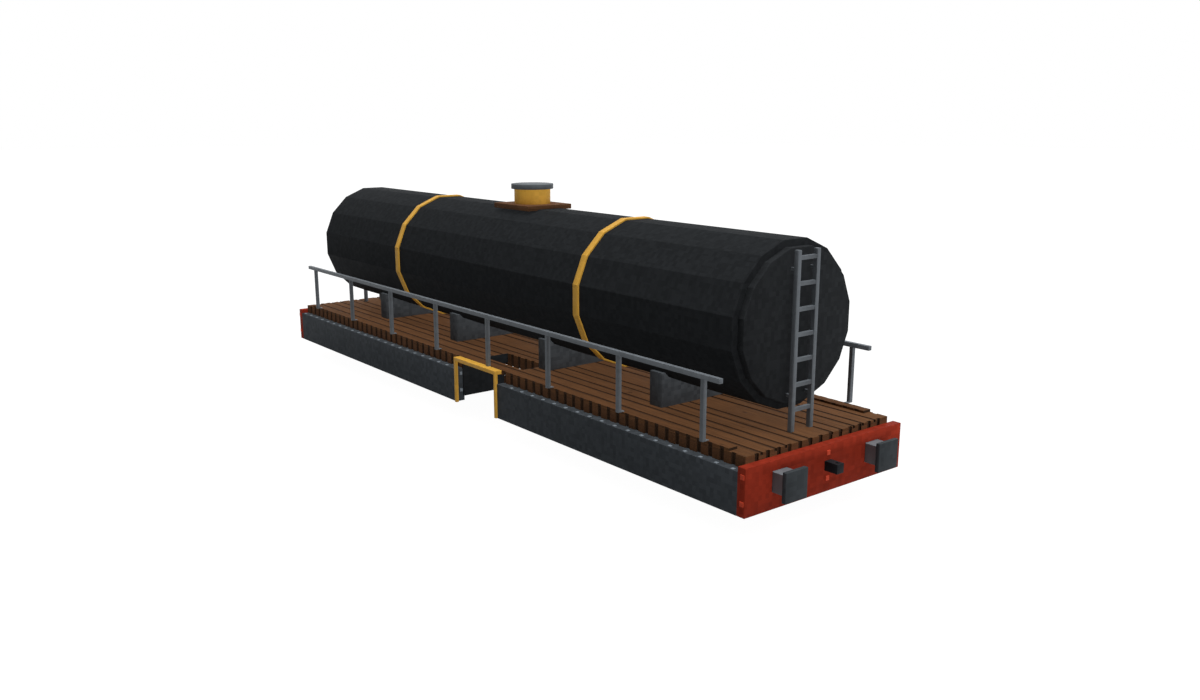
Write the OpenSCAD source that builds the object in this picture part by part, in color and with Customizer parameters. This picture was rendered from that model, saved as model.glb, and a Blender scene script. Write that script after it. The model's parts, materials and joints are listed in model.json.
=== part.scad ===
// Bogie tank wagon: flat-sided tank on a planked steel underframe.
// Millimetres, +Z up. The origin is in the middle, on the plane that the wheel flanges touch.
// +X is the front end, and the right side is the -Y side.

/* [Underframe] */
// Half of the length over the end beams
beam_x = 6500; // [6200:10:6800]
// Half of the width over the sills
frame_y = 1500; // [1460:5:1540]
// Height of the sills' bottom edge above the plane that the wheel flanges touch
frame_z = 360; // [350:5:400]
// Thickness of an end beam
beam_t = 130; // [110:5:150]
// Height of an end beam
beam_h = 625; // [600:5:650]
// Height of a side sill
sill_h = 556; // [540:1:570]
// Width of a side sill's flanges
sill_w = 160; // [140:5:170]
// Plate thickness of the sills
plate_t = 16; // [10:1:24]
// Distance from the middle to a centre sill's axis
centre_sill_y = 240; // [240:5:280]
// Depth of the centre sills and cross bearers
bearer_h = 110; // [100:5:115]

/* [Side recess] */
// Rear end of the gap in the side sills
gap_x0 = -80; // [-100:5:-60]
// Front end of the gap in the side sills
gap_x1 = 1170; // [1150:5:1190]
// Face of the recess's rear wall
wall_x = -48; // [-60:2:-40]
// Height of the recess walls' bottom edge above the sills' bottom
wall_z = 82; // [60:2:100]
// Rear edge of the hatch in the deck
hatch_x0 = 62; // [40:1:80]
// Depth of a hoop's top bar, and half of its width
hoop_s = 62; // [50:1:70]
// Square section of a hoop's posts
hoop_post = 50; // [40:1:60]
// How far a hoop stands proud of the sill
hoop_proud = 31; // [20:1:40]

/* [Deck] */
// Half of the deck's length
deck_x = 6370; // [6350:10:6370]
// Half of the deck's width
deck_y = 1370; // [1350:5:1372]
// Thickness of the deck's baulks
baulk_t = 120; // [100:1:130]
// Thickness of the deck's boards
board_t = 36; // [24:1:45]
// Number of boards across the deck
board_count = 14; // [14:1:14]
// Width of the groove between two boards
groove_w = 64; // [40:1:70]
// Depth of the groove between two boards
groove_d = 20; // [10:1:24]
// Number of baulks along the deck
baulk_count = 64; // [60:1:68]
// Half of the length of a walkway strip
walk_x = 6090; // [6000:10:6200]
// Width of a walkway strip
walk_w = 150; // [120:5:160]
// Thickness of a walkway strip
walk_t = 36; // [24:1:45]

/* [Tank] */
// Half of the tank barrel's length
tank_x = 5825; // [5700:5:5850]
// Distance from the tank's axis to its flats
tank_r = 1094; // [1050:2:1110]
// Height of the tank's axis above the sills' bottom
tank_z = 2062; // [2000:2:2100]
// Number of flats round the tank
tank_flats = 16; // [16:1:16]
// Distance from the axis to the flats of an end plate
head_r = 1002; // [950:2:1030]
// How far an end plate stands out of the barrel
head_t = 106; // [80:2:120]
// Distance from the middle to a band
band_x = 2710; // [2600:10:2800]
// Width of a band
band_w = 120; // [80:5:130]
// How far a band stands proud of the tank
band_t = 26; // [15:1:30]
// Distance from the middle to an inner saddle
saddle_in_x = 1375; // [1355:5:1400]
// Thickness of a saddle
saddle_t = 250; // [200:5:260]
// Half of the width of a saddle
saddle_y = 752; // [700:2:780]
// Height of a saddle's shoulder above the sills' bottom
saddle_z = 1206; // [1180:2:1220]

/* [Dome] */
// Radius of the manhole neck
neck_r = 301; // [280:1:310]
// Height of the manhole neck above the platform
neck_h = 244; // [220:2:260]
// Radius of the manhole lid
lid_r = 351; // [335:1:360]
// Thickness of the manhole lid
lid_t = 80; // [70:1:90]
// Distance from the middle to the manhole's axis, towards the front
dome_x = 62; // [40:1:80]
// Half of the platform's length
platform_x = 500; // [480:5:520]
// Half of the platform's width
platform_y = 438; // [425:1:450]
// Height of the platform above the tank's top
platform_t = 62; // [50:1:70]
// How far the platform reaches down over the tank's flats
platform_drop = 18; // [10:1:24]

/* [Railings and ladders] */
// Square section of the rails and ladder stiles
rail_s = 62; // [50:1:66]
// Square section of the railing posts
post_s = 56; // [44:1:60]
// Distance from the middle to a railing's axis
rail_y = 1423; // [1415:1:1430]
// Half of a railing's length
rail_x = 5985; // [5900:5:6050]
// Height of a railing's top above the sills' bottom
rail_z = 1602; // [1560:2:1640]
// Distance between two railing posts
post_pitch = 1626; // [1600:1:1650]
// Distance from the middle to a ladder's axis
ladder_x = 6025; // [6010:1:6040]
// Distance from the middle to a ladder stile's axis
stile_y = 180; // [160:2:200]
// Height of a ladder's top above the sills' bottom
ladder_z = 3046; // [2960:2:3060]
// Height of the lowest rung above the sills' bottom
rung_z = 997; // [950:1:1010]
// Distance between two rungs
rung_pitch = 325; // [300:1:330]
// Square section of a rung
rung_s = 50; // [40:1:54]

/* [Buffers and couplers] */
// Distance from the middle to a buffer's axis
buffer_y = 890; // [870:5:900]
// Height of the buffers and couplers above the sills' bottom
buffer_z = 356; // [350:2:360]
// Side of a buffer's square ram
ram_s = 262; // [240:2:270]
// Length of the ram in front of the end beam
ram_l = 205; // [190:1:210]
// Side of a buffer's square head
head_s = 390; // [370:2:400]
// Thickness of a buffer's head
head_plate = 60; // [50:1:66]
// Clearance round a ram in its guide
ram_gap = 6; // [5:0.5:8]
// Side of a coupler's square bar
coupler_s = 126; // [110:2:130]
// Length of a coupler in front of the end beam
coupler_l = 203; // [190:1:210]
// Radius of a coupler's pin hole
coupler_bore = 20; // [15:0.5:25]

/* [Bottom outlet] */
// Outer radius of the outlet's pipe
outlet_r = 110; // [100:1:115]
// Outer radius of the outlet's flange
flange_r = 171; // [168:1:172]
// Radius of the circle of flange bolts
flange_pcd = 295; // [290:1:300]
// Radius of a flange bolt hole
flange_bore = 11; // [10:0.5:12]
// Inner radius of the outlet at its mouth
outlet_bore = 80; // [75:1:90]
// Height of the flange's lower face above the sills' bottom
flange_z = 300; // [280:2:320]

/* [Bogies] */
// Distance from the middle to a bogie's pivot, and to an outer saddle
bogie_x = 4062; // [4040:2:4080]
// Distance from a bogie's pivot to an axle
axle_x = 900; // [880:5:920]
// Radius of a wheel's tread
wheel_r = 340; // [330:1:345]
// Height of a wheel's flange
wheel_flange = 28; // [26:0.5:30]
// Distance from the middle to a wheel's inner face
wheel_in_y = 680; // [679:0.5:681]
// Width of a wheel's rim
wheel_w = 135; // [130:1:140]
// Radius of an axle
axle_r = 80; // [75:1:85]
// Radius of an axle journal
journal_r = 60; // [55:1:65]
// Running clearance of a journal in its box, and of a pin in its bore
run_gap = 0.05; // [0.02:0.01:0.1]
// Radius of a bogie's king pin
king_r = 40; // [30:1:50]

/* [Hidden] */
$fn = 64;

TANK_BLACK = "#26282b";
SLATE = "#3c4145";
SIGNAL_RED = "#a3331f";
SIGNAL_YELLOW = "#dc9a28";
TIMBER = "#7a4f2c";
DARK_TIMBER = "#3a2617";
RAIL_GREY = "#6b7177";
HEAD_GREY = "#474e51";
RAM_GREY = "#7b8387";
WHEEL_GREY = "#3f3a37";

// Levels above the plane that the wheel flanges touch
sill_top = frame_z + sill_h;
baulk_top = sill_top + baulk_t;
deck_z = baulk_top + board_t;
walk_z = deck_z + walk_t;
hoop_top = walk_z + 18;
axis_z = frame_z + tank_z;
buffer_axis_z = frame_z + buffer_z;
platform_z = axis_z + tank_r;
neck_top = platform_z + platform_t + neck_h;
axle_z = wheel_r + wheel_flange;

// Spacing of what repeats
board_pitch = 2 * deck_y / board_count;
baulk_pitch = 2 * deck_x / baulk_count;

// The hatch takes the place of two boards on each side
hatch_y0 = deck_y - 4 * board_pitch - groove_w / 2;
hatch_y1 = deck_y - 2 * board_pitch + groove_w / 2;

sill_in_y = frame_y - sill_w;
beam_in_x = beam_x - beam_t;
bearer_half = 45;
bearer_z = sill_top - bearer_h;
centre_out_y = centre_sill_y + bearer_half;
wall_t = 12;

// Body bolster over a bogie, its centre plate, and the king pin's top
bolster_half = 150;
plate_z = 632;
plate_gap = 0.3;
king_top = 760;

// Lid hinge, at the rear of the lid
lid_pivot_r = 385;
lid_pivot_z = neck_top + lid_t / 2;
lid_pin_r = 12;
knuckle_half = 40;

// ---- helpers ----

module block(x0, x1, y0, y1, z0, z1) {
    translate([x0, y0, z0]) cube([x1 - x0, y1 - y0, z1 - z0]);
}

module both_sides() {
    children();
    mirror([0, 1, 0]) children();
}

module both_ends() {
    children();
    mirror([1, 0, 0]) children();
}

// Cylinder along Y that starts at y0
module rod_y(r, y0, y1) {
    translate([0, y0, 0]) rotate([-90, 0, 0]) cylinder(r = r, h = y1 - y0);
}

// Cylinder along X, centred on x = 0
module rod_x(r, h) {
    rotate([0, 90, 0]) cylinder(r = r, h = h, center = true);
}

// Prism along X with flats at top, bottom and sides; r is the distance to the flats
module flat_prism(r, x0, x1) {
    corner_r = r / cos(180 / tank_flats);
    translate([x0, 0, axis_z]) rotate([90, 0, 90]) linear_extrude(x1 - x0)
        polygon([for (k = [0:tank_flats - 1])
            let (a = (k + 0.5) * 360 / tank_flats) corner_r * [cos(a), sin(a)]]);
}

// ---- underframe ----

module end_beams() {
    half = ram_s / 2 + ram_gap;
    color(SIGNAL_RED) both_ends() difference() {
        block(beam_in_x, beam_x, -frame_y, frame_y, frame_z, frame_z + beam_h);
        both_sides() block(beam_in_x - 1, beam_x + 1, buffer_y - half, buffer_y + half,
            buffer_axis_z - half, buffer_axis_z + half);
    }
}

// One length of channel with closed ends, open towards the middle
module sill_length(x0, x1) {
    difference() {
        block(x0, x1, sill_in_y, frame_y, frame_z, sill_top);
        block(x0 + plate_t, x1 - plate_t, sill_in_y - 1, frame_y - plate_t,
            frame_z + plate_t, sill_top - plate_t);
    }
}

module side_sills() {
    color(SLATE) {
        sill_length(-beam_in_x, gap_x0);
        sill_length(gap_x1, beam_in_x);
    }
}

module centre_sills() {
    color(SLATE) both_sides() block(-beam_in_x, beam_in_x, centre_sill_y - bearer_half,
        centre_out_y, bearer_z, sill_top);
}

module cross_bearers() {
    near_end_x = bogie_x + axle_x + 700;
    color(SLATE) both_ends() both_sides() for (x = [saddle_in_x, band_x, near_end_x])
        block(x - bearer_half, x + bearer_half, centre_out_y, sill_in_y, bearer_z, sill_top);
}

// Transverse box over each bogie, bored for the king pin
module body_bolsters() {
    x0 = bogie_x - bolster_half;
    x1 = bogie_x + bolster_half;
    web_y = frame_y - plate_t;
    color(SLATE) both_ends() difference() {
        union() {
            block(x0, x1, -web_y, web_y, plate_z + plate_gap, bearer_z);
            both_sides() block(x0, x1, centre_out_y, sill_in_y, bearer_z - 1, sill_top);
        }
        translate([bogie_x, 0, plate_z]) cylinder(r = king_r + run_gap, h = sill_top - plate_z);
    }
}

// Plates that close the underframe at both ends of each side recess, and line the hatch's ends
module recess_walls() {
    color(TANK_BLACK) both_sides() {
        for (x = [[gap_x0, wall_x], [gap_x1, gap_x1 + wall_t]]) {
            block(x[0], x[1], hatch_y0, sill_in_y, frame_z + wall_z, sill_top + 1);
            block(x[0], x[1], hatch_y0, deck_y, sill_top, baulk_top);
        }
        // The rear plate reaches out past the sill's end face
        block(gap_x0, wall_x, sill_in_y - 1, deck_y, frame_z + wall_z, sill_top + 1);
        block(gap_x0, hatch_x0, hatch_y0, hatch_y1, sill_top, baulk_top);
        for (x = [hatch_x0 - wall_t, gap_x1])
            block(x, x + wall_t, hatch_y0, hatch_y1, baulk_top - 1, deck_z);
    }
}

// ---- deck ----

// Baulks lie side by side, in one run on each side of the recess and one beside it;
// notches in the edges part their ends
module deck_baulks() {
    notch_half = 36;
    notch_d = 24;
    seam = 2;
    front_x = gap_x1 + wall_t;
    color(DARK_TIMBER) difference() {
        union() {
            block(-deck_x, gap_x0, -deck_y, deck_y, sill_top, baulk_top);
            block(gap_x0 + seam, front_x - seam, seam - hatch_y0, hatch_y0 - seam,
                sill_top, baulk_top);
            block(front_x, deck_x, -deck_y, deck_y, sill_top, baulk_top);
        }
        both_sides() for (k = [1:baulk_count - 1])
            let (x = k * baulk_pitch - deck_x) block(x - notch_half, x + notch_half,
                deck_y - notch_d, deck_y + 1, sill_top - 1, baulk_top + 1);
    }
}

// Beams that the cut baulks rest on, along both hatches
module hatch_trimmers() {
    trimmer_w = 40;
    trimmer_h = 55;
    y = hatch_y0 - 1;
    color(DARK_TIMBER) both_sides() block(gap_x0, gap_x1 + wall_t, y - trimmer_w, y,
        sill_top - trimmer_h, sill_top);
}

module deck_boards() {
    color(TIMBER) difference() {
        block(-deck_x, deck_x, -deck_y, deck_y, baulk_top, deck_z);
        both_sides() block(hatch_x0 - wall_t, gap_x1 + wall_t, hatch_y0, hatch_y1,
            baulk_top - 1, deck_z + 1);
        for (k = [1:board_count - 1])
            let (y = k * board_pitch - deck_y) block(-deck_x - 1, deck_x + 1,
                y - groove_w / 2, y + groove_w / 2, deck_z - groove_d, deck_z + 1);
    }
}

module walkways() {
    color(TIMBER) both_sides() block(-walk_x, walk_x, deck_y - walk_w, deck_y, deck_z, walk_z);
}

// ---- railings, hoops and ladders ----

// Posts stand on foot plates at the edge of the walkway, and one stands on the hoop
module railing() {
    rail_half = rail_s / 2;
    half = post_s / 2;
    foot_t = 10;
    foot_reach = 30;
    top = frame_z + rail_z;
    color(RAIL_GREY) {
        block(-rail_x, rail_x, rail_y - rail_half, rail_y + rail_half, top - rail_s, top);
        for (k = [-3.5:1:3.5]) {
            x = k * post_pitch;
            on_hoop = x > gap_x0 && x < gap_x1;
            block(x - half, x + half, rail_y - half, rail_y + half,
                on_hoop ? hoop_top : walk_z, top - rail_s + 1);
            if (!on_hoop) block(x - half, x + half, deck_y - foot_reach, rail_y + half,
                walk_z, walk_z + foot_t);
        }
    }
}

module hoops() {
    out_y = frame_y + hoop_proud;
    color(SIGNAL_YELLOW) both_sides() {
        block(gap_x0, gap_x1, out_y - 2 * hoop_s, out_y, hoop_top - hoop_s, hoop_top);
        for (x = [gap_x0, gap_x1 - hoop_post])
            block(x, x + hoop_post, out_y - hoop_post, out_y, frame_z, hoop_top - hoop_s + 1);
    }
}

module ladder() {
    half = rail_s / 2;
    bracket_h = 40;
    rungs = 7;
    color(RAIL_GREY) {
        both_sides() {
            block(ladder_x - half, ladder_x + half, stile_y - half, stile_y + half,
                deck_z, frame_z + ladder_z);
            for (k = [0.5, 5.5])
                let (z = frame_z + rung_z + k * rung_pitch) block(tank_x + head_t, ladder_x,
                    stile_y - half / 2, stile_y + half / 2, z, z + bracket_h);
        }
        for (k = [0:rungs - 1])
            translate([ladder_x, 0, frame_z + rung_z + k * rung_pitch])
                cube([rung_s, 2 * stile_y, rung_s], center = true);
    }
}

// ---- tank ----

module saddle(x) {
    difference() {
        block(x - saddle_t / 2, x + saddle_t / 2, -saddle_y, saddle_y, deck_z, frame_z + saddle_z);
        flat_prism(tank_r, x - saddle_t, x + saddle_t);
    }
}

module outer_saddles() {
    color(SLATE) both_ends() saddle(bogie_x);
}

module inner_saddles() {
    color(SLATE) both_ends() saddle(saddle_in_x);
}

module tank_barrel() {
    color(TANK_BLACK) flat_prism(tank_r, -tank_x, tank_x);
}

module tank_ends() {
    color(TANK_BLACK) both_ends() flat_prism(head_r, tank_x, tank_x + head_t);
}

module tank_bands() {
    color(SIGNAL_YELLOW) both_ends() difference() {
        flat_prism(tank_r + band_t, band_x - band_w / 2, band_x + band_w / 2);
        flat_prism(tank_r, band_x - band_w, band_x + band_w);
    }
}

// Places its children on the manhole's axis, with the hinge at the rear
module at_dome() {
    translate([dome_x, 0, 0]) rotate([0, 0, 90]) children();
}

// Neck with the two lugs and the pin that carry the lid
module manhole_neck() {
    lug_in = knuckle_half + 2;
    lug_out = lug_in + 18;
    lug_r = 28;
    color(SIGNAL_YELLOW) difference() {
        translate([dome_x, 0, axis_z]) cylinder(r = neck_r, h = neck_top - axis_z);
        flat_prism(tank_r, dome_x - neck_r - 1, dome_x + neck_r + 1);
    }
    color(SIGNAL_YELLOW) at_dome() {
        both_ends() {
            block(lug_in, lug_out, neck_r - 25, lid_pivot_r + lug_r, neck_top - 110, neck_top - 8);
            block(lug_in, lug_out, lid_pivot_r - lug_r, lid_pivot_r + lug_r,
                neck_top - 9, lid_pivot_z);
            translate([(lug_in + lug_out) / 2, lid_pivot_r, lid_pivot_z])
                rod_x(lug_r, lug_out - lug_in);
        }
        translate([0, lid_pivot_r, lid_pivot_z]) rod_x(lid_pin_r, 2 * lug_out);
    }
}

module manhole_lid() {
    color(RAIL_GREY) at_dome() {
        translate([0, 0, neck_top]) cylinder(r = lid_r, h = lid_t);
        difference() {
            union() {
                block(-knuckle_half, knuckle_half, lid_r - 30, lid_pivot_r,
                    neck_top + 12, neck_top + lid_t - 12);
                translate([0, lid_pivot_r, lid_pivot_z]) rod_x(28, 2 * knuckle_half);
            }
            translate([0, lid_pivot_r, lid_pivot_z])
                rod_x(lid_pin_r + run_gap, 2 * knuckle_half + 2);
        }
    }
}

// Planks that lie on the tank's upper flats, round the neck
module manhole_platform() {
    color(TIMBER) difference() {
        block(dome_x - platform_x, dome_x + platform_x, -platform_y, platform_y,
            platform_z - platform_drop, platform_z + platform_t);
        flat_prism(tank_r, dome_x - platform_x - 1, dome_x + platform_x + 1);
        translate([dome_x, 0, platform_z - platform_drop - 1])
            cylinder(r = neck_r + 2, h = platform_drop + platform_t + 2);
    }
}

// Mouth down under the wagon's middle, between the centre sills
module bottom_outlet() {
    mouth = frame_z + flange_z;
    flange_t = 110;
    bolts = 8;
    color(SIGNAL_YELLOW) difference() {
        union() {
            translate([0, 0, mouth + 1]) cylinder(r = outlet_r, h = sill_top - mouth - 1);
            translate([0, 0, mouth]) cylinder(r = flange_r, h = flange_t);
        }
        translate([0, 0, mouth - 1]) cylinder(r = outlet_bore, h = 121);
        for (k = [0:bolts - 1]) rotate([0, 0, (k + 0.5) * 360 / bolts])
            translate([flange_pcd / 2, 0, mouth - 1]) cylinder(r = flange_bore, h = flange_t + 2);
    }
}

// ---- buffers and couplers ----

guide_l = 260;

module buffer_guides() {
    in_half = ram_s / 2 + ram_gap;
    out_half = in_half + 12;
    color(SLATE) both_ends() both_sides() difference() {
        block(beam_in_x - guide_l, beam_in_x, buffer_y - out_half, buffer_y + out_half,
            buffer_axis_z - out_half, buffer_axis_z + out_half);
        block(beam_in_x - guide_l - 1, beam_in_x + 1, buffer_y - in_half, buffer_y + in_half,
            buffer_axis_z - in_half, buffer_axis_z + in_half);
    }
}

// Ram and head of the front left buffer
module buffer() {
    half = ram_s / 2;
    head_half = head_s / 2;
    color(RAM_GREY) block(beam_in_x - guide_l / 2, beam_x + ram_l + 1, buffer_y - half,
        buffer_y + half, buffer_axis_z - half, buffer_axis_z + half);
    color(HEAD_GREY) block(beam_x + ram_l, beam_x + ram_l + head_plate, buffer_y - head_half,
        buffer_y + head_half, buffer_axis_z - head_half, buffer_axis_z + head_half);
}

module couplers() {
    half = coupler_s / 2;
    color(TANK_BLACK) both_ends() difference() {
        block(beam_x, beam_x + coupler_l, -half, half, buffer_axis_z - half, buffer_axis_z + half);
        translate([beam_x + coupler_l - half, 0, buffer_axis_z - half - 1])
            cylinder(r = coupler_bore, h = coupler_s + 2);
    }
}

// ---- bogies, about the pivot at x = 0 ----

frame_y0 = 890;
frame_y1 = 960;
box_half = 105;
seat_w = 100;
seat_z = 300;
spring_top = 430;
frame_top = 560;
spring_r = 42;

module side_frame() {
    chord_x = axle_x + 260;
    chord_z = 480;
    belly_x = 560;
    belly_z = 350;
    block(-chord_x, chord_x, frame_y0, frame_y1, chord_z, frame_top);
    block(-belly_x, belly_x, frame_y0, frame_y1, belly_z, chord_z + 1);
    for (x = [-axle_x, axle_x], s = [-1, 1])
        let (c = x + s * (box_half + 10 + seat_w / 2)) block(c - seat_w / 2, c + seat_w / 2,
            frame_y0, frame_y1, spring_top, chord_z + 1);
}

module bogie_frame() {
    bolster_z0 = 430;
    bolster_top = 600;
    color(SLATE) {
        both_sides() side_frame();
        block(-170, 170, -frame_y0 - 1, frame_y0 + 1, bolster_z0, bolster_top);
        translate([0, 0, bolster_top - 1]) cylinder(r = 170, h = plate_z - bolster_top + 1);
        translate([0, 0, bolster_top - 1]) cylinder(r = king_r, h = king_top - bolster_top + 1);
    }
}

// Boxes with a closed front and wings that the springs stand on
module axle_boxes() {
    box_in = 850;
    box_out = 1000;
    cover_r = 78;
    wing = box_half + 10 + seat_w;
    color(SLATE) both_sides() for (x = [-axle_x, axle_x]) translate([x, 0, 0]) difference() {
        union() {
            block(-box_half, box_half, box_in, box_out, axle_z - 98, axle_z + 98);
            block(-wing, wing, frame_y0, frame_y1, seat_z - 28, seat_z);
            translate([0, 0, axle_z]) rod_y(cover_r, box_out - 1, box_out + 16);
        }
        translate([0, 0, axle_z]) rod_y(journal_r + run_gap, box_in - 1, box_out - 10);
    }
}

module springs() {
    mid_y = (frame_y0 + frame_y1) / 2;
    color(WHEEL_GREY) both_sides() for (x = [-axle_x, axle_x], s = [-1, 1])
        translate([x + s * (box_half + 10 + seat_w / 2), mid_y, seat_z])
            cylinder(r = spring_r - 8, h = spring_top - seat_z);
}

// Section of a wheel as [radius, distance from the middle]
module wheels() {
    in_y = wheel_in_y;
    out_y = wheel_in_y + wheel_w;
    hub_r = 130;
    rim_r = wheel_r - 55;
    web_y = 742;
    web_half = 14;
    color(WHEEL_GREY) both_sides() translate([0, 0, axle_z]) rotate([-90, 0, 0])
        rotate_extrude() polygon([
            [axle_r, in_y - 15], [hub_r, in_y - 15], [hub_r, web_y - web_half],
            [rim_r, web_y - web_half], [rim_r, in_y], [wheel_r + wheel_flange - 8, in_y],
            [wheel_r + wheel_flange, in_y + 8], [wheel_r + wheel_flange, in_y + 22],
            [wheel_r, in_y + 34], [wheel_r, out_y - 6], [wheel_r - 6, out_y],
            [rim_r, out_y], [rim_r, web_y + web_half], [hub_r, web_y + web_half],
            [hub_r, out_y + 15], [axle_r, out_y + 15]]);
}

module axle() {
    seat_end = wheel_in_y + wheel_w + 15;
    journal_end = 980;
    color(WHEEL_GREY) translate([0, 0, axle_z]) {
        rod_y(axle_r, -seat_end, seat_end);
        rod_y(journal_r, -journal_end, journal_end);
    }
}

module at_bogie(end) {
    translate([end * bogie_x, 0, 0]) children();
}

// Axles are numbered from the front
module at_axle(n) {
    end = n < 3 ? 1 : -1;
    place = n % 2 == 1 ? 1 : -1;
    translate([end * bogie_x + place * axle_x, 0, 0]) children();
}

end_beams();
mirror([0, 1, 0]) side_sills();  // side_sills_right
side_sills();  // side_sills_left
centre_sills();
cross_bearers();
body_bolsters();
recess_walls();
hatch_trimmers();
deck_baulks();
deck_boards();
walkways();
mirror([0, 1, 0]) railing();  // railing_right
railing();  // railing_left
hoops();
outer_saddles();
inner_saddles();
tank_barrel();
tank_ends();
tank_bands();
manhole_neck();
manhole_lid();
manhole_platform();
bottom_outlet();
ladder();  // ladder_front
mirror([1, 0, 0]) ladder();  // ladder_rear
buffer_guides();
mirror([0, 1, 0]) buffer();  // buffer_front_right
buffer();  // buffer_front_left
mirror([1, 0, 0]) mirror([0, 1, 0]) buffer();  // buffer_rear_right
mirror([1, 0, 0]) buffer();  // buffer_rear_left
couplers();
at_bogie(1) bogie_frame();  // bogie_frame_front
at_bogie(-1) bogie_frame();  // bogie_frame_rear
at_bogie(1) axle_boxes();  // axle_boxes_front
at_bogie(-1) axle_boxes();  // axle_boxes_rear
at_bogie(1) springs();  // springs_front
at_bogie(-1) springs();  // springs_rear
at_axle(1) wheels();  // wheels_1
at_axle(2) wheels();  // wheels_2
at_axle(3) wheels();  // wheels_3
at_axle(4) wheels();  // wheels_4
at_axle(1) axle();  // axle_1
at_axle(2) axle();  // axle_2
at_axle(3) axle();  // axle_3
at_axle(4) axle();  // axle_4
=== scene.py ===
import json
import math
import random

import bmesh
import bpy
from mathutils import Matrix, Vector


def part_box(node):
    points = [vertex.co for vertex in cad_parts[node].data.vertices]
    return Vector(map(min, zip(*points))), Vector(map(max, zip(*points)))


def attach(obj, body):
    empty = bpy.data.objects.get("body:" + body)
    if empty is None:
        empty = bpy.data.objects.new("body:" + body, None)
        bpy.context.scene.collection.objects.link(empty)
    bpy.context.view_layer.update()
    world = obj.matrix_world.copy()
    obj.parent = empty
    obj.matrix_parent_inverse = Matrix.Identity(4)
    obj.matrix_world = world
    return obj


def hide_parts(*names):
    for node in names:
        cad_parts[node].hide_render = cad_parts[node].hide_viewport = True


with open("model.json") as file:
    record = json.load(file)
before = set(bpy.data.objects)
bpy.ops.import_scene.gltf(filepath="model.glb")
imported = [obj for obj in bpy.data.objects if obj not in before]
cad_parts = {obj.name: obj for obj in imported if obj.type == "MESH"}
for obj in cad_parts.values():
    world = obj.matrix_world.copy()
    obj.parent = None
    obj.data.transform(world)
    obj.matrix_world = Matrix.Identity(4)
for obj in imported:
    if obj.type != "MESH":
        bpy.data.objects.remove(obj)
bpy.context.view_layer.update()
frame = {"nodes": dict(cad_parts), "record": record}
RECORD = frame["record"]
BODY = {n: b for b, nodes in RECORD["behaviour"]["bodies"].items() for n in nodes}
SLOT = {s["node"]: s["material_slot"] for s in RECORD["subparts"]}
UNIT = 0.0625       # side of a paint patch and of a bolt's square head
NEAR = 0.001        # two faces within this distance are in one plane
random.seed(7)

# ---- camera, fitted to the photograph ----

cam_data = bpy.data.cameras.new("camera")
cam_data.sensor_width = 36
cam_data.lens = 31.12
cam = bpy.data.objects.new("camera", cam_data)
cam.location = (14.4545, -10.0165, 5.0555)
cam.rotation_euler = (math.radians(77.1109), 0, math.radians(51.4644))
bpy.context.collection.objects.link(cam)
bpy.context.scene.camera = cam
bpy.context.scene.view_settings.view_transform = "Standard"


# ---- materials ----

def rgb(*c):
    """sRGB 0 to 255 as a linear colour."""
    lin = [(v / 255 / 12.92) if v <= 10 else ((v / 255 + 0.055) / 1.055) ** 2.4 for v in c]
    return (*lin, 1)


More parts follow.
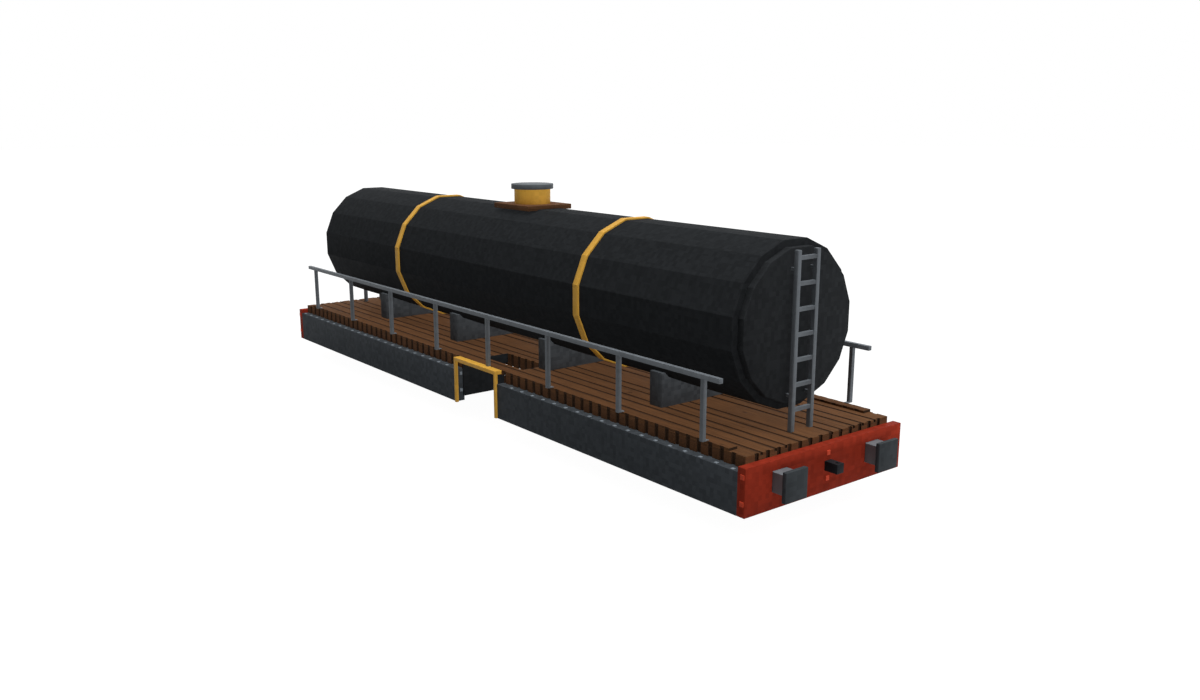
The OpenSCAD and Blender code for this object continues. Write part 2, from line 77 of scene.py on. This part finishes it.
class Nodes:
    """The node tree of a material or a world, built one node at a time."""

    def __init__(self, owner, out="ShaderNodeOutputMaterial"):
        self.mat = owner
        owner.use_nodes = True
        self.tree = owner.node_tree
        self.tree.nodes.clear()
        self.out = self.add(out)

    def add(self, kind, **props):
        n = self.tree.nodes.new(kind)
        for k, v in props.items():
            setattr(n, k, v)
        return n

    def link(self, a, b):
        self.tree.links.new(a, b)

    def put(self, socket, value):
        if isinstance(value, bpy.types.NodeSocket):
            self.link(value, socket)
        else:
            socket.default_value = value

    def math(self, op, a, b=0.0, c=0.0):
        n = self.add("ShaderNodeMath", operation=op)
        for s, v in zip(n.inputs, (a, b, c)):
            self.put(s, v)
        return n.outputs[0]

    def vmath(self, op, a, b=None, scale=None):
        n = self.add("ShaderNodeVectorMath", operation=op)
        self.put(n.inputs[0], a)
        if b is not None:
            self.put(n.inputs[1], b)
        if scale is not None:
            self.put(n.inputs["Scale"], scale)
        return n.outputs[0]

    def noise(self, vector, scale, detail=4.0, rough=0.6):
        n = self.add("ShaderNodeTexNoise")
        self.link(vector, n.inputs["Vector"])
        n.inputs["Scale"].default_value = scale
        n.inputs["Detail"].default_value = detail
        n.inputs["Roughness"].default_value = rough
        return n.outputs[0]

    def ramp(self, value, lo, hi, a=0.0, b=1.0):
        n = self.add("ShaderNodeMapRange", clamp=True)
        for k, v in (("Value", value), ("From Min", lo), ("From Max", hi), ("To Min", a), ("To Max", b)):
            self.put(n.inputs[k], v)
        return n.outputs[0]

    def mix(self, fac, a, b):
        n = self.add("ShaderNodeMix", data_type="RGBA")
        self.put(n.inputs[0], fac)
        self.put(n.inputs[6], a)
        self.put(n.inputs[7], b)
        return n.outputs[2]

    def seen(self):
        """1 for rays that show a thing to the camera, 0 for those that light it."""
        path = self.add("ShaderNodeLightPath").outputs
        direct = self.math("MAXIMUM", path["Is Camera Ray"], path["Is Glossy Ray"])
        return self.math("MAXIMUM", direct, path["Is Transmission Ray"])

    def diffuse(self, level):
        n = self.add("ShaderNodeBsdfDiffuse")
        n.inputs[0].default_value = (level, level, level, 1)
        return n.outputs[0]

    def mix_shader(self, fac, a, b):
        n = self.add("ShaderNodeMixShader")
        for socket, value in zip(n.inputs, (fac, a, b)):
            self.put(socket, value)
        return n.outputs[0]

    def coords(self):
        return self.add("ShaderNodeTexCoord").outputs["Object"]

    def patches(self, co, size):
        """One random value per block of the given size."""
        shifted = self.vmath("ADD", co, (0.021, 0.017, 0.029))
        snapped = self.vmath("SNAP", shifted, size)
        n = self.add("ShaderNodeTexWhiteNoise", noise_dimensions="3D")
        self.link(snapped, n.inputs["Vector"])
        return n.outputs["Value"]

    def shader(self, colour, rough, spec, metal, height, dist):
        b = self.add("ShaderNodeBsdfPrincipled")
        self.put(b.inputs["Base Color"], colour)
        self.put(b.inputs["Roughness"], rough)
        b.inputs["Specular IOR Level"].default_value = spec
        b.inputs["Metallic"].default_value = metal
        bump = self.add("ShaderNodeBump")
        bump.inputs["Strength"].default_value = 0.6
        bump.inputs["Distance"].default_value = dist
        self.link(height, bump.inputs["Height"])
        self.link(bump.outputs[0], b.inputs["Normal"])
        self.link(b.outputs[0], self.out.inputs["Surface"])
        return self.mat


RUST = rgb(74, 46, 32)


def paint(name, colour, rough=0.62, spec=0.2, patch=0.07, mottle=0.14, chips=0.35, edge=1.35, metal=0.0):
    """Weathered paint: square patches, soft mottling, streaks, worn edges and small chips."""
    t = Nodes(bpy.data.materials.new(name))
    co = t.coords()
    cell = t.patches(co, (UNIT, UNIT, UNIT))
    soft = t.noise(co, 5.0, 6.0)
    streak = t.noise(t.vmath("MULTIPLY", co, (1.0, 1.0, 0.12)), 22.0, 3.0)
    gain = t.math("MULTIPLY_ADD", t.math("SUBTRACT", cell, 0.5), 2 * patch, 1.0)
    gain = t.math("MULTIPLY_ADD", t.math("SUBTRACT", soft, 0.5), 2 * mottle, gain)
    gain = t.math("MULTIPLY_ADD", t.math("SUBTRACT", streak, 0.5), mottle, gain)
    worn = t.ramp(t.add("ShaderNodeNewGeometry").outputs["Pointiness"], 0.53, 0.62, 0.0, edge - 1)
    gain = t.math("ADD", gain, worn)
    col = t.vmath("SCALE", colour[:3], scale=gain)
    spots = t.ramp(t.noise(co, 34.0, 5.0, 0.7), 0.66, 0.74, 0.0, chips)
    col = t.mix(spots, col, RUST)
    rgh = t.math("MULTIPLY_ADD", t.math("SUBTRACT", soft, 0.5), 0.3, rough)
    height = t.math("ADD", t.noise(co, 260.0, 2.0), t.math("MULTIPLY", spots, -2.0))
    return t.shader(col, rgh, spec, metal, height, 0.0006)


def wood(name, colour, along, dark):
    """Weathered planks: grain along an axis, 0 or 1, a tone of its own for each piece, cracks."""
    t = Nodes(bpy.data.materials.new(name))
    island = t.add("ShaderNodeNewGeometry").outputs["Random Per Island"]
    co = t.coords()
    shift = t.vmath("SCALE", (37.0, 53.0, 71.0), scale=island)
    moved = t.vmath("ADD", co, shift)
    fine = [0.9 if i == along else 34.0 for i in range(3)]
    broad = [0.5 if i == along else 9.0 for i in range(3)]
    cell = [4 * UNIT if i == along else UNIT / 2 for i in range(3)]
    grain = t.noise(t.vmath("MULTIPLY", moved, fine), 2.0, 6.0, 0.65)
    band = t.noise(t.vmath("MULTIPLY", moved, broad), 1.5, 3.0)
    patch = t.patches(co, cell)
    gain = t.math("MULTIPLY_ADD", t.math("SUBTRACT", island, 0.5), 0.26, 1.02)
    gain = t.math("MULTIPLY_ADD", t.math("SUBTRACT", band, 0.5), 0.35, gain)
    gain = t.math("MULTIPLY_ADD", t.math("SUBTRACT", patch, 0.5), 0.16, gain)
    lines = t.ramp(grain, 0.36, 0.56)
    gain = t.math("MULTIPLY", gain, t.ramp(lines, 0.0, 1.0, dark + 0.25, 1.06))
    col = t.vmath("SCALE", colour[:3], scale=gain)
    longer = [0.35 if i == along else 1.0 for i in range(3)]
    knot = t.ramp(t.noise(t.vmath("MULTIPLY", moved, longer), 9.0, 1.0), 0.73, 0.78, 0.0, 0.6)
    col = t.mix(knot, col, rgb(38, 24, 15))
    return t.shader(col, t.ramp(grain, 0.3, 0.7, 0.78, 0.92), 0.15, 0.0, grain, 0.003)


DULL = dict(rough=0.7, spec=0.01, patch=0.15, mottle=0.16, edge=1.2, chips=0.15)
SLATE = dict(spec=0.02, patch=0.2, mottle=0.12, chips=0.3)
GREY = dict(rough=0.5, spec=0.08, patch=0.08, mottle=0.10)
PAINTS = {
    "tank_black": ((39, 41, 43), DULL),
    "tank_end": ((45, 47, 49), DULL),
    # A lighter copy of the slate for the saddles, which sit in the tank's shade: painted light.
    "saddle_slate_painted_light": ((78, 82, 86), SLATE),
    "slate": ((61, 65, 69), SLATE),
    "signal_red": ((139, 46, 30), dict(rough=0.6, spec=0.03, patch=0.14, mottle=0.10, edge=1.15)),
    "signal_yellow": ((226, 172, 70), dict(rough=0.5, spec=0.12, patch=0.06, mottle=0.07, edge=1.05)),
    "rail_grey": ((106, 111, 116), GREY),
    "lid_grey": ((96, 101, 105), GREY),
    "head_grey": ((58, 62, 65), dict(rough=0.55, spec=0.03, patch=0.14, mottle=0.12)),
    "ram_grey": ((117, 123, 128), dict(rough=0.45, spec=0.15, patch=0.05, mottle=0.12, chips=0.2)),
    # Bolt heads in lighter copies of the signal red and the slate they are painted with: painted highlight.
    "bolt_red_painted_highlight": ((196, 70, 46), dict(rough=0.5, spec=0.1, patch=0.05)),
    "bolt_grey_painted_highlight": ((124, 132, 139), dict(rough=0.5, spec=0.1, patch=0.08)),
    "coupler_black": ((31, 33, 36), dict(rough=0.5, spec=0.05, patch=0.05, chips=0.2)),
    "wheel_steel": ((58, 50, 46), dict(rough=0.75, spec=0.15, mottle=0.3, chips=0.7)),
    "tread_steel": ((150, 150, 150), dict(rough=0.28, spec=0.5, mottle=0.1, chips=0.1, metal=0.9)),
}
# Colour, axis of the grain, and how light the cracks are
WOODS = {
    "timber": ((99, 66, 40), 0, 0.34),
    "strip_timber": ((97, 64, 38), 0, 0.34),
    # Dark wood for the shallow fill in the deck grooves: painted shade of deep grooves.
    "groove_painted_shade": ((58, 38, 23), 0, 0.42),
    "timber_across": ((96, 64, 40), 1, 0.42),
    "dark_timber": ((99, 66, 42), 1, 0.42),
    # Dark wood for the faces inside gaps and notches and for the baulk tops under the boards: painted shade.
    "gap_painted_shade": ((50, 33, 20), 1, 0.42),
}
MATS = {name: paint(name, rgb(*colour), **look) for name, (colour, look) in PAINTS.items()}
MATS.update({name: wood(name, rgb(*colour), along, dark) for name, (colour, along, dark) in WOODS.items()})


# ---- piece helpers ----

def rounded(obj, width, angle=15.0, segments=2):
    """Rounds the sharp edges and shades the rest smooth."""
    for p in obj.data.polygons:
        p.use_smooth = True
    bev = obj.modifiers.new("edges", "BEVEL")
    bev.width = width
    bev.segments = segments
    bev.limit_method = "ANGLE"
    bev.angle_limit = math.radians(angle)
    bev.harden_normals = True


def place(obj, body, slot, *mats):
    for m in mats:
        obj.data.materials.append(MATS[m])
    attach(obj, body)


def mesh_piece(name, bm, body, slot, *mats):
    me = bpy.data.meshes.new(name)
    bmesh.ops.recalc_face_normals(bm, faces=bm.faces)
    bm.to_mesh(me)
    bm.free()
    obj = bpy.data.objects.new(name, me)
    bpy.context.collection.objects.link(obj)
    place(obj, body, slot, *mats)
    return obj


def add_box(bm, x0, x1, y0, y1, z0, z1):
    size = Vector((x1 - x0, y1 - y0, z1 - z0))
    mid = Vector(((x0 + x1) / 2, (y0 + y1) / 2, (z0 + z1) / 2))
    bmesh.ops.create_cube(bm, size=1.0, matrix=Matrix.Translation(mid) @ Matrix.Diagonal((*size, 1)))


def add_prism(bm, outline, z0, z1):
    """Closed prism over an outline in XY."""
    low = [bm.verts.new((x, y, z0)) for x, y in outline]
    high = [bm.verts.new((x, y, z1)) for x, y in outline]
    bm.faces.new(low[::-1])
    bm.faces.new(high)
    n = len(outline)
    for i in range(n):
        j = (i + 1) % n
        bm.faces.new((low[i], low[j], high[j], high[i]))


def add_round(bm, at, axis, r, h, sides=12):
    """Short cylinder that stands on a point and rises along an axis."""
    turn = Vector((0, 0, 1)).rotation_difference(Vector(axis)).to_matrix().to_4x4()
    m = Matrix.Translation(at) @ turn @ Matrix.Translation((0, 0, h / 2))
    bmesh.ops.create_cone(bm, cap_ends=True, segments=sides, radius1=r, radius2=r, depth=h, matrix=m)


# ---- CAD nodes with rounded edges ----

def copy_node(node, width, *mats, angle=15.0, paint_faces=None):
    me = frame["nodes"][node].data.copy()
    me.materials.clear()
    bm = bmesh.new()
    bm.from_mesh(me)
    bmesh.ops.remove_doubles(bm, verts=bm.verts, dist=1e-5)
    bmesh.ops.dissolve_limit(bm, angle_limit=math.radians(0.5), verts=bm.verts, edges=bm.edges)
    if paint_faces:
        for f in bm.faces:
            f.material_index = paint_faces(f)
    bm.to_mesh(me)
    bm.free()
    obj = bpy.data.objects.new(node + "_shape", me)
    bpy.context.collection.objects.link(obj)
    rounded(obj, width, angle)
    place(obj, BODY[node], SLOT[node], *mats)
    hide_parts(node)
    return obj


EDGE = {"tank_barrel": 0.008, "tank_ends": 0.008, "tank_bands": 0.003, "end_beams": 0.006,
        "manhole_neck": 0.003, "manhole_lid": 0.005}
PLAIN_EDGE = 0.004      # of the nodes that aren't named in EDGE
# The saddles take the lighter slate, painted light against the tank's shade over them.
OTHER_PAINT = {"couplers": "coupler_black", "manhole_platform": "timber_across", "manhole_lid": "lid_grey",
               "tank_ends": "tank_end", "outer_saddles": "saddle_slate_painted_light", "inner_saddles": "saddle_slate_painted_light"}
AXLES = ("axle_1", "axle_2", "axle_3", "axle_4")
BUFFERS = ("buffer_front", "buffer_rear")
MODELLED_BELOW = ("deck_boards", "deck_baulks", "walkways", "hatch_trimmers", "springs_front", "springs_rear")
FLANGE_H, HEAD_T = 0.028, 0.060     # a wheel's flange and a buffer's head plate


def copy_wheels(node):
    """Wheels whose tread and flange are worn bright."""
    lo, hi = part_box(node)
    cx, cz = (lo[0] + hi[0]) / 2, (lo[2] + hi[2]) / 2
    tread = (hi[2] - lo[2]) / 2 - FLANGE_H - 1.5 * NEAR

    def on_tread(f):
        return int(all(math.hypot(v.co.x - cx, v.co.z - cz) > tread for v in f.verts))
    copy_node(node, 0.003, "wheel_steel", "tread_steel", angle=28, paint_faces=on_tread)


def copy_buffer(node):
    """Buffer whose head plate is darker than its ram."""
    lo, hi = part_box(node)
    head_back = max(abs(lo[0]), abs(hi[0])) - HEAD_T - 2 * NEAR

    def on_head(f):
        return int(abs(f.calc_center_median().x) > head_back)
    copy_node(node, 0.005, "ram_grey", "head_grey", paint_faces=on_head)


for node in frame["nodes"]:
    if node not in MODELLED_BELOW and not node.startswith(("wheels", *AXLES, *BUFFERS)):
        copy_node(node, EDGE.get(node, PLAIN_EDGE), OTHER_PAINT.get(node, SLOT[node]))

for node in frame["nodes"]:
    if node.startswith("wheels"):
        copy_wheels(node)
    elif node in AXLES:
        copy_node(node, 0.003, "wheel_steel")
    elif node.startswith(BUFFERS):
        copy_buffer(node)

# ---- deck: boards along the wagon on baulks across it ----

board_lo, board_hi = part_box("deck_boards")
baulk_lo, baulk_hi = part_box("deck_baulks")
walk_lo, walk_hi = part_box("walkways")
wall_lo, wall_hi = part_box("recess_walls")
trimmer_lo, trimmer_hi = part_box("hatch_trimmers")
half_x, half_y = board_hi[0], board_hi[1]
ENDS, BAULKS = 14, 64       # dark gaps part the ends of as many pieces, across the wagon and along it
pitch_y, pitch_x = 2 * half_y / ENDS, 2 * half_x / BAULKS
# Gaps in the ends, notches in the sides and grooves on top: widths, and depths in names with _D
GAP, NOTCH, NOTCH_D = 0.064, 0.072, 0.024
GROOVE, GROOVE_D = 0.045, 0.008
GROOVES = (3.5, 6.5, 10.5, 13.5, 17.5)      # from the middle of the wagon, in units
BOARD_STEP = 0.0025         # how much lower one board may lie than another
WALK_W, STRIP_NOTCH = 0.150, 0.006
SEAM = 0.0006               # half the joint between two baulks
TRIMMER_W = 0.040
BOLT_R, BOLT_H = 0.009, 0.004
# The hatch on each side, from x0 to x1, and between y0 and y1 from the middle
hatch_x0, hatch_x1 = 0.050, wall_hi[0]
hatch_y0 = half_y - 4 * pitch_y - GAP / 2
hatch_y1 = half_y - 2 * pitch_y + GAP / 2
gaps_x = [k * pitch_x - half_x for k in range(1, BAULKS)]
gaps_y = [k * pitch_y - half_y for k in range(1, ENDS)]
grooves_y = [s * n * UNIT for s in (-1, 1) for n in GROOVES]


def cuts(centres, width):
    """Start and end of a cut round each centre."""
    return [(c - width / 2, c + width / 2) for c in centres]


def comb(a, b, cuts_here, level, cut_level):
    """Edge from a to b that steps back to cut_level inside each cut."""
    pts, t = [], a
    for lo, hi in cuts_here:
        lo, hi = max(lo, a), min(hi, b)
        if lo < hi:
            if lo > t:
                pts += [(t, level), (lo, level)]
            pts += [(lo, cut_level), (hi, cut_level)]
            t = hi
    if t < b:
        pts += [(t, level), (b, level)]
    return pts


def tidy_outline(pts):
    """Leaves out each point that lies on a line with its neighbours."""
    found = True
    while found:
        found = False
        for i, (x, y) in enumerate(pts):
            (px, py), (nx, ny) = pts[i - 1], pts[(i + 1) % len(pts)]
            if abs((x - px) * (ny - y) - (y - py) * (nx - x)) < 1e-10:
                del pts[i]
                found = True
                break
    return pts


def plank(bm, x0, x1, y0, y1, z0, z1, at_x0=(), at_x1=(), at_y0=(), at_y1=(), depth=NOTCH_D):
    """Box with cuts in any of its four sides."""
    pts = comb(x0, x1, at_y0, y0, y0 + depth)
    pts += [(x, y) for y, x in comb(y0, y1, at_x1, x1, x1 - depth)]
    pts += comb(x0, x1, at_y1, y1, y1 - depth)[::-1]
    pts += [(x, y) for y, x in comb(y0, y1, at_x0, x0, x0 + depth)][::-1]
    add_prism(bm, tidy_outline(pts), z0, z1)


def darken(bm, outer):
    """Upright faces get the dark gap material as painted shade, but for those in an outer plane: the ends,
    and the sides at y in outer.
    """
    for f in bm.faces:
        n, c = f.normal, f.calc_center_median()
        on_end = abs(c.x) > half_x - NEAR
        on_side = any(abs(abs(c.y) - y) < NEAR for y in outer)
        f.material_index = int(abs(n.z) < 0.5 and not on_end and not on_side)


def spans(y0, y1):
    """Boxes, as (x0, x1, y0, y1), that a board from y0 to y1 fills round the hatch on its side."""
    near, far = sorted((abs(y0), abs(y1)))
    if y0 * y1 < 0 or far <= hatch_y0 or near >= hatch_y1:
        return [(-half_x, half_x, y0, y1)]
    out = [(-half_x, hatch_x0, y0, y1), (hatch_x1, half_x, y0, y1)]
    s = 1 if y1 > 0 else -1
    if near < hatch_y0:
        out.append((hatch_x0, hatch_x1, *sorted((s * near, s * hatch_y0))))
    if far > hatch_y1:
        out.append((hatch_x0, hatch_x1, *sorted((s * hatch_y1, s * far))))
    return out


bm, fill = bmesh.new(), bmesh.new()
edges_y = [-half_y] + sorted(grooves_y) + [half_y]
end_cuts, side_cuts = cuts(gaps_y, GAP), cuts(gaps_x, NOTCH)
for ya, yb in zip(edges_y, edges_y[1:]):
    y0 = ya + (GROOVE / 2 if ya > -half_y else 0)
    y1 = yb - (GROOVE / 2 if yb < half_y else 0)
    top = board_hi[2] - random.uniform(0, BOARD_STEP)
    for bx0, bx1, by0, by1 in spans(y0, y1):
        plank(bm, bx0, bx1, by0, by1, board_lo[2], top,
              at_x0=end_cuts if bx0 <= -half_x else (), at_x1=end_cuts if bx1 >= half_x else (),
              at_y0=side_cuts if min(abs(by0 + half_y), abs(by0 + hatch_y0)) < NEAR else (),
              at_y1=side_cuts if min(abs(by1 - half_y), abs(by1 - hatch_y0)) < NEAR else ())
# Dark strips fill the grooves to 8 mm under the board tops: painted shade of deep grooves.
for g in grooves_y:
    for fx0, fx1, fy0, fy1 in spans(g - GROOVE / 2, g + GROOVE / 2):
        add_box(fill, max(fx0, NOTCH_D - half_x), min(fx1, half_x - NOTCH_D), fy0, fy1,
                board_lo[2], board_hi[2] - GROOVE_D)
bm.normal_update()
darken(bm, (half_y, hatch_y0))
boards = mesh_piece("deck_boards_planks", bm, "wagon", "timber", "timber", "gap_painted_shade")
rounded(boards, 0.003)
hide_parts("deck_boards")
mesh_piece("deck_boards_grooves", fill, "wagon", "timber", "groove_painted_shade")

bm = bmesh.new()
for s in (-1, 1):
    y0, y1 = sorted((s * (half_y - WALK_W), s * half_y))
    inner = cuts([g for g in gaps_x if walk_lo[0] + NOTCH < g < walk_hi[0] - NOTCH], NOTCH)
    plank(bm, walk_lo[0], walk_hi[0], y0, y1, walk_lo[2], walk_hi[2], at_y0=inner, at_y1=inner,
          depth=STRIP_NOTCH)
bm.normal_update()
darken(bm, (half_y, half_y - WALK_W))
strips = mesh_piece("walkway_strips", bm, "wagon", "timber", "strip_timber", "gap_painted_shade")
rounded(strips, 0.003)
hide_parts("walkways")

bm = bmesh.new()
edges_x = sorted([-half_x] + gaps_x + [half_x, wall_lo[0], hatch_x1])
for x0, x1 in zip(edges_x, edges_x[1:]):
    in_hatch = wall_lo[0] - NEAR < x0 and x1 < hatch_x1 + NEAR
    reach = hatch_y0 if in_hatch else half_y
    first, last = x0 <= -half_x, x1 >= half_x
    parted = [x for x, outer in ((x0, first), (x1, last)) if not outer and x1 - x0 > 2 * NOTCH]
    plank(bm, x0 + (0 if first else SEAM), x1 - (0 if last else SEAM), -reach, reach,
          baulk_lo[2], baulk_hi[2], at_x0=end_cuts if first else (), at_x1=end_cuts if last else (),
          at_y0=cuts(parted, NOTCH), at_y1=cuts(parted, NOTCH))
# Baulk tops and inner sides get the dark gap material as painted shade; the outer ends keep the timber.
for f in bm.faces:
    c = f.calc_center_median()
    at_end = abs(c.y) > half_y - NEAR or abs(abs(c.y) - hatch_y0) < NEAR or abs(c.x) > half_x - NEAR
    f.material_index = int(not at_end)
baulks = mesh_piece("deck_baulks_beams", bm, "wagon", "dark_timber", "dark_timber", "gap_painted_shade")
rounded(baulks, 0.002)
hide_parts("deck_baulks")

# Beams under the baulks along the hatches, notched as the baulks' ends are
bm = bmesh.new()
for s in (-1, 1):
    y0, y1 = sorted((s * trimmer_hi[1], s * (trimmer_hi[1] - TRIMMER_W)))
    plank(bm, trimmer_lo[0], trimmer_hi[0], y0, y1, trimmer_lo[2], trimmer_hi[2],
          at_y0=side_cuts if s < 0 else (), at_y1=side_cuts if s > 0 else ())
# All but the outer side get the dark gap material as painted shade.
for f in bm.faces:
    f.material_index = int(abs(abs(f.calc_center_median().y) - trimmer_hi[1]) > NEAR)
trimmers = mesh_piece("hatch_trimmer_beams", bm, "wagon", "dark_timber", "dark_timber", "gap_painted_shade")
rounded(trimmers, 0.002)
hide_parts("hatch_trimmers")

# Coach bolts that hold the boards to every fourth baulk
bm = bmesh.new()
for ya, yb in zip(edges_y, edges_y[1:]):
    y = (ya + yb) / 2
    for g in range(1, BAULKS, 4):
        x = (g + 0.5) * pitch_x - half_x
        on_hatch = hatch_y0 - 0.05 < abs(y) < hatch_y1 + 0.05 and hatch_x0 - 0.02 < x < hatch_x1 + 0.02
        under_strip = abs(y) > half_y - WALK_W - 0.02 and abs(x) < walk_hi[0] + 0.02
        if not on_hatch and not under_strip:
            add_round(bm, (x, y, board_hi[2] - BOLT_H), (0, 0, 1), BOLT_R, BOLT_H, 10)
mesh_piece("deck_bolts", bm, "wagon", "wheel_steel", "wheel_steel")

# ---- bolts with square heads ----

sill_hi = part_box("side_sills_right")[1]
beam_lo, beam_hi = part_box("end_beams")
hoop_lo, hoop_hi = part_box("hoops")
floor_z = beam_lo[2]
PROUD, SINK = 0.010, 0.004
# Heights of the bolts over the beam's lower edge, in units
BEAM_MID_Z, BEAM_SIDE_Z = (8.3, 2.87), (8.16, 2.75)
SILL_Z, GAP_Z = (7.33, 2.85), (7.5, 2.9)
SILL_X = (-52 * UNIT, 60 * UNIT)
FLANGE_BOLTS, FLANGE_PITCH, FLANGE_Y = 46, 4.45 * UNIT, 23.4 * UNIT
GAP_BOLT_Y = 22.4 * UNIT


def square_bolt(bm, at, axis, size=UNIT, proud=PROUD):
    """Square head on a face. axis is the number of the axis that the face looks along, and which way."""
    i, s = axis
    lo = [c - size / 2 for c in at]
    hi = [c + size / 2 for c in at]
    lo[i], hi[i] = sorted((at[i] - s * SINK, at[i] + s * proud))
    add_box(bm, lo[0], hi[0], lo[1], hi[1], lo[2], hi[2])


bm = bmesh.new()
for e in (-1, 1):
    for z in BEAM_MID_Z:
        square_bolt(bm, (e * beam_hi[0], 0, floor_z + z * UNIT), (0, e))
    for s in (-1, 1):
        for z in BEAM_SIDE_Z:
            square_bolt(bm, (e * (beam_hi[0] - 0.75 * UNIT), s * beam_hi[1], floor_z + z * UNIT), (1, s))
# The heads are a lighter red than the beam: painted highlight.
red = mesh_piece("beam_bolts", bm, "wagon", "signal_red", "bolt_red_painted_highlight")
rounded(red, 0.003)

bm = bmesh.new()
gap_x0, gap_x1 = hoop_lo[0], hoop_hi[0]
for s in (-1, 1):
    for k in range(FLANGE_BOLTS):
        x = (k - (FLANGE_BOLTS - 1) / 2) * FLANGE_PITCH
        if not gap_x0 - 0.1 < x < gap_x1 + 0.1:
            square_bolt(bm, (x, s * FLANGE_Y, sill_hi[2]), (2, 1), 0.75 * UNIT, 0.008)
    for x in SILL_X:
        for z in SILL_Z:
            square_bolt(bm, (x, s * sill_hi[1], floor_z + z * UNIT), (1, s), 0.8 * UNIT, 0.009)
    for x, d in ((gap_x0, 1), (gap_x1, -1)):
        for z in GAP_Z:
            square_bolt(bm, (x, s * GAP_BOLT_Y, floor_z + z * UNIT), (0, d), 0.8 * UNIT, 0.009)
# The heads are a lighter grey than the slate sills: painted highlight.
grey = mesh_piece("sill_bolts", bm, "wagon", "slate", "bolt_grey_painted_highlight")
rounded(grey, 0.003)

# ---- springs ----

WIRE, TURNS, STEPS, RING = 0.008, 4.5, 20, 8
COIL_R, AXLE_TO_COIL = 0.034, 0.165         # over the wire, and from an axle's middle to its coils


def add_coil(bm, at, height):
    """Coil that stands on a point, its ends closed."""
    n = int(TURNS * STEPS)
    rings = []
    for i in range(n + 1):
        a = 2 * math.pi * i / STEPS
        out = Vector((math.cos(a), math.sin(a), 0))
        c = Vector((at[0], at[1], at[2] + height * i / n)) + out * (COIL_R - WIRE)
        rings.append([bm.verts.new(c + out * WIRE * math.cos(b) + Vector((0, 0, WIRE * math.sin(b))))
                      for b in (2 * math.pi * j / RING for j in range(RING))])
    for p, q in zip(rings, rings[1:]):
        for j in range(RING):
            k = (j + 1) % RING
            bm.faces.new((p[j], p[k], q[k], q[j]))
    bm.faces.new(rings[0])
    bm.faces.new(rings[-1][::-1])


for node in ("springs_front", "springs_rear"):
    lo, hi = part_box(node)
    mid_x, y_c = (lo[0] + hi[0]) / 2, hi[1] - COIL_R
    out_x = (hi[0] - lo[0]) / 2 - COIL_R
    in_x = out_x - 2 * AXLE_TO_COIL
    bm = bmesh.new()
    for dx in (-out_x, -in_x, in_x, out_x):
        for y in (-y_c, y_c):
            add_coil(bm, (mid_x + dx, y, lo[2] + WIRE), hi[2] - lo[2] - 2 * WIRE)
    coil = mesh_piece(node + "_coils", bm, BODY[node], SLOT[node], "wheel_steel")
    for p in coil.data.polygons:
        p.use_smooth = len(p.vertices) == 4
    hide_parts(node)

# ---- screws round the axle box covers ----

SCREWS, SCREW_CIRCLE, SCREW_R, SCREW_H = 6, 0.058, 0.008, 0.0018
AXLE_TO_END = 0.215     # from an axle's middle to the end of its box

for node in ("axle_boxes_front", "axle_boxes_rear"):
    lo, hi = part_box(node)
    mid_x, z_c = (lo[0] + hi[0]) / 2, (lo[2] + hi[2]) / 2
    off = (hi[0] - lo[0]) / 2 - AXLE_TO_END
    bm = bmesh.new()
    for dx in (-off, off):
        for s in (-1, 1):
            for k in range(SCREWS):
                a = 2 * math.pi * (k + 0.5) / SCREWS
                x, z = mid_x + dx + SCREW_CIRCLE * math.cos(a), z_c + SCREW_CIRCLE * math.sin(a)
                add_round(bm, (x, s * (hi[1] - 0.002), z), (0, s, 0), SCREW_R, SCREW_H, 6)
    # The screws get the lighter bolt grey: painted highlight.
    mesh_piece(node + "_screws", bm, BODY[node], SLOT[node], "bolt_grey_painted_highlight")

# ---- floor, world and lamps ----

AMBIENT = 0.22          # how strongly the white world lights the wagon
FLOOR_LIT, FLOOR_SEEN, FLOOR_GLOW, GLOW_SHARE = 0.30, 0.95, 1.2, 0.6

# The floor looks white and lights the wagon from below as a grey one would. From below it is clear.
t = Nodes(bpy.data.materials.new("floor_pale"))
glow = t.add("ShaderNodeEmission")
glow.inputs[0].default_value = (1, 1, 1, 1)
glow.inputs[1].default_value = FLOOR_GLOW
white = t.mix_shader(GLOW_SHARE, t.diffuse(FLOOR_SEEN), glow.outputs[0])
above = t.mix_shader(t.seen(), t.diffuse(FLOOR_LIT), white)
clear = t.add("ShaderNodeBsdfTransparent").outputs[0]
under = t.add("ShaderNodeNewGeometry").outputs["Backfacing"]
t.link(t.mix_shader(under, above, clear), t.out.inputs["Surface"])

bm = bmesh.new()
bmesh.ops.create_circle(bm, cap_ends=True, segments=96, radius=150)
me = bpy.data.meshes.new("floor")
bm.to_mesh(me)
bm.free()
floor = bpy.data.objects.new("floor", me)
floor.location = (0, 0, -0.001)
floor.data.materials.append(t.mat)
bpy.context.collection.objects.link(floor)

world = bpy.data.worlds.new("world")
bpy.context.scene.world = world
w = Nodes(world, "ShaderNodeOutputWorld")
back = w.add("ShaderNodeBackground")
back.inputs["Color"].default_value = (1, 1, 1, 1)
w.link(w.ramp(w.seen(), 0.0, 1.0, AMBIENT, 1.0), back.inputs["Strength"])
w.link(back.outputs[0], w.out.inputs["Surface"])


def sun(name, towards, level, spread, shadow):
    """level is what a face square to the lamp gets, where 1 shows a colour as written."""
    data = bpy.data.lights.new(name, "SUN")
    data.energy = level * math.pi
    data.angle = math.radians(spread)
    data.use_shadow = shadow
    obj = bpy.data.objects.new(name, data)
    obj.rotation_euler = Vector(towards).to_track_quat("Z", "Y").to_euler()
    bpy.context.collection.objects.link(obj)


sun("key", (0.36, 0.05, 1.0), 0.14, 40, True)
sun("fill", (0.30, 0.02, 1.0), 0.68, 10, False)
sun("side", (1.0, 0.0, 0.0), 0.10, 10, False)
